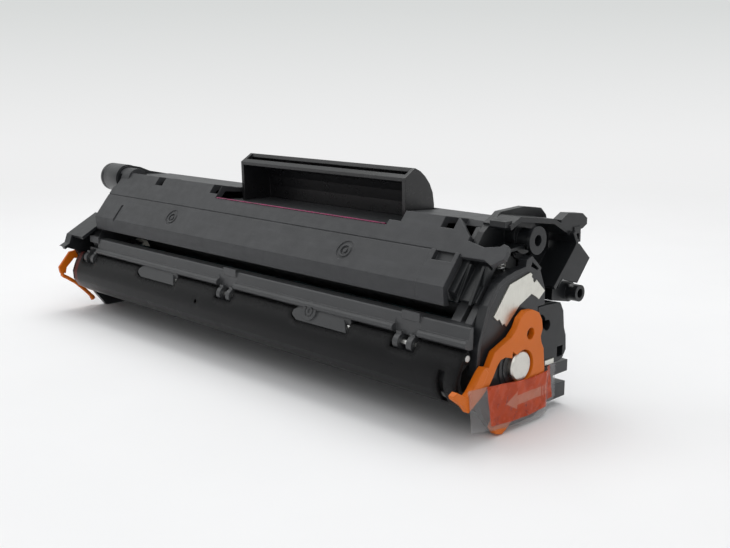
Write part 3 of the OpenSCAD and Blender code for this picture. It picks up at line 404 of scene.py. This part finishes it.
TAPE_TOP = [(-33.4, -1.6), (-21.6, -2.6), (-9.4, -4.1), (2.2, -5.3), (14.3, -5.0), (25.8, -4.4)]
TAPE_FOOT = [(-32.0, -17.6), (-17.1, -20.4), (-2.7, -22.5), (10.9, -23.1), (23.3, -20.1),
             (25.8, -18.5)]
TAPE_OUT = [(-34.0, 146.55), (-20.0, 146.55), (-12.0, 146.15), (14.6, 146.15), (21.0, 143.1),
            (26.0, 143.0)]
TAPE_FRONT = [(0.0, -33.3), (0.42, -32.0), (1.0, -31.0)]
TAPE_BACK = 25.7
FILM_THICKNESS = 0.00012
film_mesh = bpy.data.meshes.new("pull_tape_film")
verts, faces = [], []
COLS, ROWS = 96, 28
for j in range(ROWS + 1):
    v = j / ROWS
    left_edge = straight(TAPE_FRONT, v)
    for i in range(COLS + 1):
        y = left_edge + (TAPE_BACK - left_edge) * i / COLS
        top, foot = straight(TAPE_TOP, y), straight(TAPE_FOOT, y)
        z = top + (foot - top) * v
        ripple = 0.10 * math.sin(0.55 * y + 0.35 * z) + 0.06 * math.sin(1.3 * y - 0.8 * z + 1.0)
        verts.append(placed(along(TAPE_OUT, y) + ripple, y, z))
for j in range(ROWS):
    for i in range(COLS):
        k = j * (COLS + 1) + i
        faces.append((k, k + COLS + 1, k + COLS + 2, k + 1))
film_mesh.from_pydata(verts, [], faces)
for poly in film_mesh.polygons:
    poly.use_smooth = True
film_obj = add_object("pull_tape_film", film_mesh)
thick = film_obj.modifiers.new("thick", "SOLIDIFY")
thick.thickness = FILM_THICKNESS
thick.offset = 0.0
film_mesh.materials.append(tape)
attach(film_obj, "root")
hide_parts("pull_tape")

# Left transport clip: a narrow strap with a bent wire foot
def face_outward(mesh):
    """Turns every face of a closed mesh outward."""
    shape = bmesh.new()
    shape.from_mesh(mesh)
    bmesh.ops.recalc_face_normals(shape, faces=shape.faces)
    shape.to_mesh(mesh)
    shape.free()


def add_tube(verts, faces, x, path, sides=14):
    """Adds a closed round wire through (y, z, radius) points in the plane at x."""
    start = len(verts)
    for k, (y, z, r) in enumerate(path):
        y0, z0, _ = path[max(k - 1, 0)]
        y1, z1, _ = path[min(k + 1, len(path) - 1)]
        length = math.hypot(y1 - y0, z1 - z0)
        ny, nz = -(z1 - z0) / length, (y1 - y0) / length
        for i in range(sides):
            a = 2 * math.pi * i / sides
            off = r * math.sin(a)
            verts.append(placed(x + r * math.cos(a), y + off * ny, z + off * nz))
    for k in range(len(path) - 1):
        for i in range(sides):
            a, b = start + k * sides + i, start + k * sides + (i + 1) % sides
            faces.append((a, a + sides, b + sides, b))
    faces.append(tuple(start + i for i in range(sides)))
    faces.append(tuple(start + (len(path) - 1) * sides + i for i in reversed(range(sides))))


STRAP = [(-31.4, 9.3), (-38.2, 1.3), (-37.6, -2.2), (-34.3, -2.6), (-33.6, 0.6), (-28.6, 5.4),
         (-16.0, 1.6), (-12.2, -3.4), (-9.7, 1.0), (-10.2, 5.6), (-14.0, 7.4), (-27.0, 9.9)]
WIRE = [(-35.9, -0.6, 1.0), (-36.3, -2.2, 1.05), (-36.2, -3.4, 1.05), (-35.2, -4.3, 1.05),
        (-33.0, -5.6, 1.05), (-28.0, -9.2, 1.05), (-22.5, -14.6, 1.05), (-19.6, -17.8, 1.05),
        (-18.9, -18.8, 1.4), (-18.1, -20.3, 1.4)]
STRAP_OUTER, STRAP_INNER, WIRE_MIDDLE = 0.25, 1.9, 1.07
x_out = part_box("transport_clip_left")[0][0] * MM_PER_M
strap_verts, strap_faces = [], []
for x in (x_out + STRAP_OUTER, x_out + STRAP_INNER):
    strap_verts += [placed(x, y, z) for y, z in STRAP]
count = len(STRAP)
strap_faces.append(tuple(range(count)))
strap_faces.append(tuple(count + i for i in reversed(range(count))))
for i in range(count):
    j = (i + 1) % count
    strap_faces.append((i, i + count, j + count, j))
add_tube(strap_verts, strap_faces, x_out + WIRE_MIDDLE, WIRE)
strap_mesh = bpy.data.meshes.new("clip_left_strap")
strap_mesh.from_pydata(strap_verts, [], strap_faces)
face_outward(strap_mesh)
for poly in strap_mesh.polygons:
    poly.use_smooth = len(poly.vertices) == 4 and poly.index > count + 1
strap_obj = add_object("clip_left_strap", strap_mesh)
soften = strap_obj.modifiers.new("soften", "BEVEL")
soften.width = 0.0003
soften.segments = 2
soften.limit_method = "ANGLE"
soften.angle_limit = math.radians(50)
strap_mesh.materials.append(orange_plastic)
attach(strap_obj, "root")
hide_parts("transport_clip_left")


# Round collar of the boss at the gear cover's top, with a groove and a stepped bore
BOSS_BACK, BOSS_UP = -2.0, 50.0
collar_x0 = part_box("gear_cover_left")[0][0] * MM_PER_M - 0.4
collar_x1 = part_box("hopper_lid")[0][0] * MM_PER_M - 0.5
BORE, OUTER = 4.7, 7.75
COLLAR = [
    (BORE, collar_x1), (OUTER, collar_x1), (OUTER, collar_x0 + 3.6), (7.62, collar_x0 + 3.4),
    (7.62, collar_x0 + 2.8), (OUTER, collar_x0 + 2.6), (OUTER, collar_x0 + 0.5),
    (7.6, collar_x0 + 0.15), (7.25, collar_x0), (6.0, collar_x0), (5.7, collar_x0 + 0.3),
    (5.7, collar_x0 + 2.2), (BORE, collar_x0 + 2.2)]
# The gear beside the collar starts behind its groove, and the thinnest wall there is 0.3 mm
GEAR_SIDE = 2.7
LEAST_RADIUS = 5.0
ROUND = 64
gear_lo, gear_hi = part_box("agitator_gear")
gear_clear = (gear_hi[1] - gear_lo[1]) * MM_PER_M / 2 + 0.9
gear_back = (gear_lo[1] + gear_hi[1]) * MM_PER_M / 2 + AXIS_FRONT - BOSS_BACK
gear_up = (gear_lo[2] + gear_hi[2]) * MM_PER_M / 2 - AXIS_HEIGHT - BOSS_UP


def collar_radius(radius, x, angle):
    """The radius there, less where the agitator's gear turns beside the collar."""
    if x < collar_x0 + GEAR_SIDE:
        return radius
    toward = gear_back * math.cos(angle) + gear_up * math.sin(angle)
    room = toward * toward - gear_back ** 2 - gear_up ** 2 + gear_clear ** 2
    if toward <= 0 or room <= 0:
        return radius
    return min(radius, max(toward - math.sqrt(room), LEAST_RADIUS))


collar_verts, collar_faces = [], []
for r, x in COLLAR:
    for i in range(ROUND):
        a = 2 * math.pi * i / ROUND
        here = collar_radius(r, x, a)
        collar_verts.append(
            placed(x, BOSS_BACK + here * math.cos(a), BOSS_UP + here * math.sin(a)))
for k in range(len(COLLAR)):
    for i in range(ROUND):
        a, b = k * ROUND, (k + 1) % len(COLLAR) * ROUND
        j = (i + 1) % ROUND
        collar_faces.append((a + i, a + j, b + j, b + i))
collar_mesh = bpy.data.meshes.new("top_boss_collar")
collar_mesh.from_pydata(collar_verts, [], collar_faces)
face_outward(collar_mesh)
for poly in collar_mesh.polygons:
    poly.use_smooth = True
collar_mesh.set_sharp_from_angle(angle=math.radians(40))
collar_obj = add_object("top_boss_collar", collar_mesh)
collar_mesh.materials.append(cap_plastic)
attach(collar_obj, "root")


def seen_ray(tree_nodes, links):
    """1 for what the camera sees, straight or by a mirror or through glass."""
    rays = tree_nodes.new("ShaderNodeLightPath")
    indirect = calc(tree_nodes, links, "MAXIMUM", rays.outputs["Is Glossy Ray"],
                    rays.outputs["Is Transmission Ray"])
    return calc(tree_nodes, links, "MAXIMUM", rays.outputs["Is Camera Ray"], indirect)


# Floor that curves up behind, and soft studio light; metres from below the object
FLOOR_FRONT, FLOOR_SIDE = -3.0, 5.0
BEND_START, BEND_RADIUS, BEND_STEPS = 1.2, 1.2, 12
WALL_TOP = 4.0
FLOOR_COLOUR = (0.86, 0.862, 0.865)
SHADED_WALL_COLOUR = (0.69, 0.705, 0.70)
floor_mesh = bpy.data.meshes.new("floor")
verts, faces = [], []
profile = [(FLOOR_FRONT, 0.0), (BEND_START, 0.0)]
for i in range(1, BEND_STEPS + 1):
    a = math.radians(90 * i / BEND_STEPS)
    profile.append((BEND_START + BEND_RADIUS * math.sin(a), BEND_RADIUS - BEND_RADIUS * math.cos(a)))
profile.append((BEND_START + BEND_RADIUS, WALL_TOP))
ahead = Vector((forward.x, forward.y, 0)).normalized()
for d, h in profile:
    for s in (-FLOOR_SIDE, FLOOR_SIDE):
        p = ahead * d + right * s
        verts.append((p.x, p.y, h))
for i in range(len(profile) - 1):
    faces.append((2 * i, 2 * i + 1, 2 * i + 3, 2 * i + 2))
floor_mesh.from_pydata(verts, [], faces)
for poly in floor_mesh.polygons:
    poly.use_smooth = True
floor = add_object("floor", floor_mesh)
floor_mat, tn, links, bsdf = new_material("floor_paper")
paper = noise(tn, links, mm_coords(tn, links), 0.01, 3.0)
links.new(ramp(tn, links, paper, (0.84, 0.84, 0.84), (0.86, 0.86, 0.86)),
          bsdf.inputs["Base Color"])
bsdf.inputs["Roughness"].default_value = 0.7
# Away from the object the paper glows for the camera in a pale colour that darkens up the backdrop
# as painted shade, and near it it keeps the shadow
coord = tn.new("ShaderNodeTexCoord")
reach = tn.new("ShaderNodeVectorMath")
reach.operation = "LENGTH"
links.new(coord.outputs["Object"], reach.inputs[0])
far = spread(tn, links, reach.outputs["Value"], 0.0, 1.0, 0.22, 0.85)
seen = seen_ray(tn, links)
glow = tn.new("ShaderNodeEmission")
glow.inputs["Strength"].default_value = 1.0
height = tn.new("ShaderNodeSeparateXYZ")
links.new(coord.outputs["Object"], height.inputs["Vector"])
# The glow goes from the floor's colour to a darker grey up the backdrop: painted shade of the sweep.
up_the_backdrop = spread(tn, links, height.outputs["Z"], 0.0, 1.0, 0.0, 0.3)
links.new(ramp(tn, links, up_the_backdrop, FLOOR_COLOUR, SHADED_WALL_COLOUR, 0.0, 1.0), glow.inputs["Color"])
mixed = tn.new("ShaderNodeMixShader")
links.new(times(tn, links, far, seen), mixed.inputs["Fac"])
links.new(bsdf.outputs["BSDF"], mixed.inputs[1])
links.new(glow.outputs["Emission"], mixed.inputs[2])
links.new(mixed.outputs["Shader"], tn["Material Output"].inputs["Surface"])
floor_mesh.materials.append(floor_mat)


def softbox(name, place, target, size, power):
    """A rectangular lamp at a place, turned to its target."""
    lamp = bpy.data.lights.new(name, "AREA")
    lamp.shape = "RECTANGLE"
    lamp.size, lamp.size_y = size
    lamp.energy = power
    obj = add_object(name, lamp)
    obj.location = place
    obj.rotation_euler = (Vector(target) - Vector(place)).to_track_quat("-Z", "Y").to_euler()


softbox("top_light", (-0.2, 0.35, 1.3), (0, 0, 0), (1.2, 0.9), 11)
softbox("fill_light", (0.9, -0.7, 0.9), (0.05, 0, 0.03), (0.8, 0.8), 3.1)
softbox("left_light", (-0.75, -0.45, 0.85), (0.05, 0, 0.03), (0.6, 0.6), 1.6)

world = bpy.data.worlds.new("studio")
world.use_nodes = True
bpy.context.scene.world = world
tn, links = world.node_tree.nodes, world.node_tree.links
back = tn["Background"]
back.inputs["Color"].default_value = (0.93, 0.94, 0.96, 1.0)
back.inputs["Strength"].default_value = 0.55
# Beyond the floor's edge the world shows the backdrop's darker colour from higher up, a painted
# shade
shown = tn.new("ShaderNodeBackground")
shown.inputs["Color"].default_value = (*SHADED_WALL_COLOUR, 1.0)
shown.inputs["Strength"].default_value = 1.0
mixed = tn.new("ShaderNodeMixShader")
links.new(seen_ray(tn, links), mixed.inputs["Fac"])
links.new(back.outputs["Background"], mixed.inputs[1])
links.new(shown.outputs["Background"], mixed.inputs[2])
links.new(mixed.outputs["Shader"], tn["World Output"].inputs["Surface"])
bpy.context.scene.view_settings.view_transform = "Standard"
